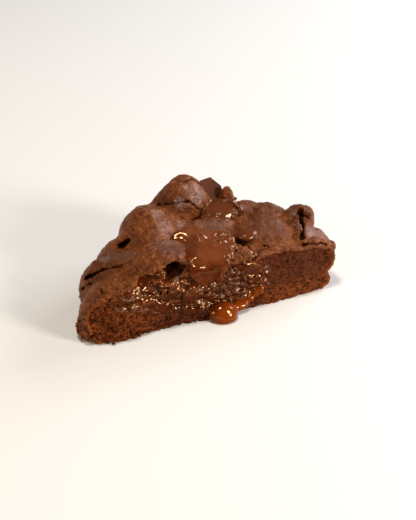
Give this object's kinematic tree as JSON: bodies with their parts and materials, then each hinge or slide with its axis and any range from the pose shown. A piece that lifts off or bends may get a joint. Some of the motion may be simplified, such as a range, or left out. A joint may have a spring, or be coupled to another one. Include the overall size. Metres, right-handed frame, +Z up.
{
  "type": "half chocolate cookie with salted caramel filling",
  "caption": "Half of a thick chocolate cookie, broken across, with salted caramel filling running out of the break and chocolate pieces on top.",
  "frame": {"origin": "middle of the object's bounding box in plan, on the table it rests on", "axes": "+X along the break towards the right end as seen facing the break, +Y from the break towards the round back, +Z up"},
  "size_m": [0.1044, 0.0572, 0.0368],
  "materials": {
    "chocolate_dough": "baked chocolate dough, satin brown crust with a matt crumb inside",
    "salted_caramel": "soft caramel, wet and glossy, amber where thin",
    "solid_chocolate": "dark chocolate, satin",
    "melted_chocolate": "melted dark chocolate, smooth and glossy"
  },
  "bodies": {
    "root": {"cookie": "chocolate_dough", "caramel_filling": "salted_caramel", "chocolate_chunk": "solid_chocolate", "melted_pool": "melted_chocolate", "melted_chip_right": "melted_chocolate", "melted_chip_left": "melted_chocolate", "melted_chip_rim": "melted_chocolate"}
  },
  "joints": []
}
